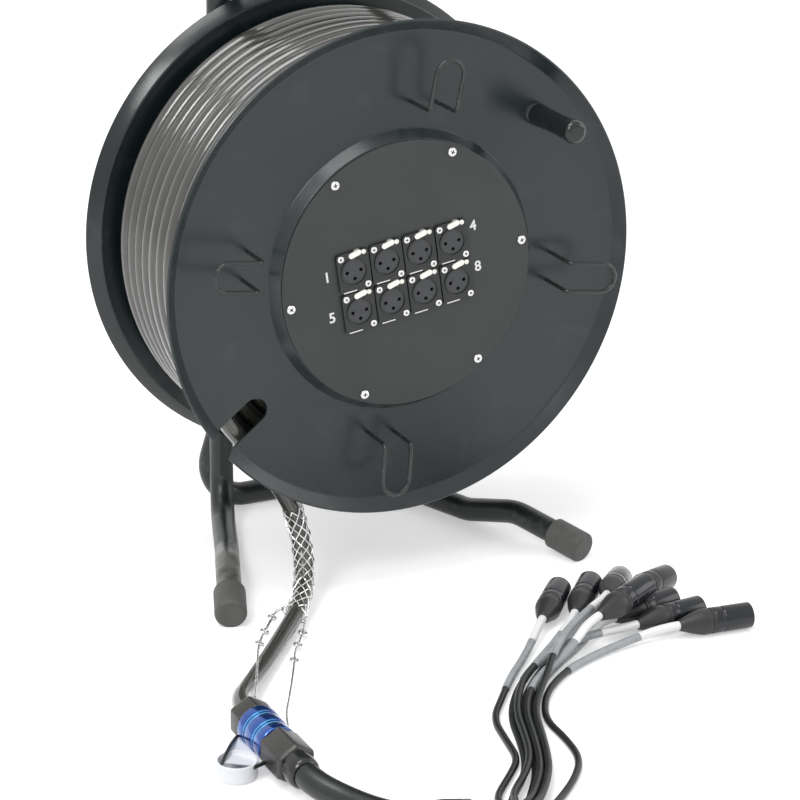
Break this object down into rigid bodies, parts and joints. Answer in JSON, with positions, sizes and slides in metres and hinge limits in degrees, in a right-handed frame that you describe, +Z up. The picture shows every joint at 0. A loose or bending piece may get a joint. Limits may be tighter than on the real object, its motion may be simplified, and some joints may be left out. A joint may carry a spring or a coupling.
{
  "type": "stage cable drum",
  "caption": "Black steel cable drum on a tube stand with a socket panel, wound with multicore audio cable that ends in a multipin connector and fans out into tails with plugs.",
  "frame": {"origin": "on the floor under the middle of the drum and stand, without the cable on the floor", "axes": "+Z up, the socket panel faces -Y, +X to the panel's right"},
  "size_m": [0.4548, 0.595, 0.4825],
  "materials": {
    "stand_black": "satin black paint",
    "drum_black": "satin black paint",
    "panel_black": "fine matte black paint",
    "zinc_steel": "zinc-plated steel",
    "screw_steel": "bright zinc",
    "hook_steel": "black oxide wire",
    "bush_plastic": "natural bearing plastic",
    "socket_plastic": "moulded black",
    "insert_plastic": "moulded black",
    "latch_metal": "satin metal tab",
    "grip_plastic": "moulded black",
    "foot_rubber": "dark grey rubber",
    "cable_jacket": "soft matte jacket",
    "tail_jacket": "soft matte jacket",
    "trunk_rubber": "smooth rubber",
    "boot_rubber": "smooth moulded rubber",
    "strap_rubber": "moulded strap",
    "grip_wire": "bright braided wire",
    "connector_black": "glossy black",
    "ring_blue": "blue anodised with bright grooves",
    "cap_pale": "milky soft plastic",
    "sleeve_white": "white shrink sleeve",
    "sleeve_grey": "grey shrink sleeve",
    "plug_boot": "ridged matte boot",
    "plug_shell": "glossy black shell"
  },
  "bodies": {
    "stand": {"frame_tube": "stand_black", "rear_brace": "stand_black", "hub_plate": "stand_black", "axle": "zinc_steel", "axle_collar": "zinc_steel", "axle_spacer": "zinc_steel", "left_foot_cap": "foot_rubber", "right_foot_cap": "foot_rubber", "last_turn": "cable_jacket", "lead_cable": "cable_jacket", "pulling_grip": "grip_wire", "grip_wires": "grip_wire", "grip_rings": "grip_wire", "connector_collar": "connector_black", "connector_body": "connector_black", "connector_boot": "boot_rubber", "dust_cap": "cap_pale", "cap_strap": "strap_rubber", "fanout_trunk": "trunk_rubber", "breakout": "boot_rubber", "tail_1": "tail_jacket", "tail_2": "tail_jacket", "tail_3": "tail_jacket", "tail_4": "tail_jacket", "tail_5": "tail_jacket", "tail_6": "tail_jacket", "tail_7": "tail_jacket", "tail_8": "tail_jacket", "white_sleeves": "sleeve_white", "grey_sleeves": "sleeve_grey", "plug_boots": "plug_boot", "plug_shells": "plug_shell"},
    "drum": {"front_flange": "drum_black", "rear_flange": "drum_black", "barrel": "drum_black", "hub_tube": "drum_black", "hub_web": "drum_black", "hub_bushes": "bush_plastic", "panel": "panel_black", "panel_screws": "screw_steel", "socket_shells": "socket_plastic", "socket_inserts": "insert_plastic", "socket_screws": "screw_steel", "hook_top": "hook_steel", "hook_left": "hook_steel", "hook_right": "hook_steel", "hook_bottom": "hook_steel", "crank_pin": "zinc_steel", "winding_core": "cable_jacket", "winding_outer": "cable_jacket"},
    "crank_handle": {"crank_grip": "grip_plastic"},
    "coupling": {"coupling_ring": "ring_blue"},
    "latch_1": {"latch_1": "latch_metal"},
    "latch_2": {"latch_2": "latch_metal"},
    "latch_3": {"latch_3": "latch_metal"},
    "latch_4": {"latch_4": "latch_metal"},
    "latch_5": {"latch_5": "latch_metal"},
    "latch_6": {"latch_6": "latch_metal"},
    "latch_7": {"latch_7": "latch_metal"},
    "latch_8": {"latch_8": "latch_metal"}
  },
  "joints": [
    {"name": "drum_turn", "type": "hinge", "parent": "stand", "child": "drum", "pos_m": [0, 0.00625, 0.251], "axis": [0, -1, 0], "continuous": true},
    {"name": "crank_spin", "type": "hinge", "parent": "drum", "child": "crank_handle", "pos_m": [0.11003, -0.09375, 0.35875], "axis": [0, -1, 0], "continuous": true},
    {"name": "coupling_turn", "type": "hinge", "parent": "stand", "child": "coupling", "pos_m": [-0.208, -0.293, 0.0156], "axis": [0, 1, 0], "range_deg": [0, 90]},
    {"name": "latch_1_press", "type": "slide", "parent": "drum", "child": "latch_1", "axis": [0, 1, 0], "range_m": [0, 0.0015], "stiffness_N_per_m": 800},
    {"name": "latch_2_press", "type": "slide", "parent": "drum", "child": "latch_2", "axis": [0, 1, 0], "range_m": [0, 0.0015], "stiffness_N_per_m": 800},
    {"name": "latch_3_press", "type": "slide", "parent": "drum", "child": "latch_3", "axis": [0, 1, 0], "range_m": [0, 0.0015], "stiffness_N_per_m": 800},
    {"name": "latch_4_press", "type": "slide", "parent": "drum", "child": "latch_4", "axis": [0, 1, 0], "range_m": [0, 0.0015], "stiffness_N_per_m": 800},
    {"name": "latch_5_press", "type": "slide", "parent": "drum", "child": "latch_5", "axis": [0, 1, 0], "range_m": [0, 0.0015], "stiffness_N_per_m": 800},
    {"name": "latch_6_press", "type": "slide", "parent": "drum", "child": "latch_6", "axis": [0, 1, 0], "range_m": [0, 0.0015], "stiffness_N_per_m": 800},
    {"name": "latch_7_press", "type": "slide", "parent": "drum", "child": "latch_7", "axis": [0, 1, 0], "range_m": [0, 0.0015], "stiffness_N_per_m": 800},
    {"name": "latch_8_press", "type": "slide", "parent": "drum", "child": "latch_8", "axis": [0, 1, 0], "range_m": [0, 0.0015], "stiffness_N_per_m": 800}
  ]
}
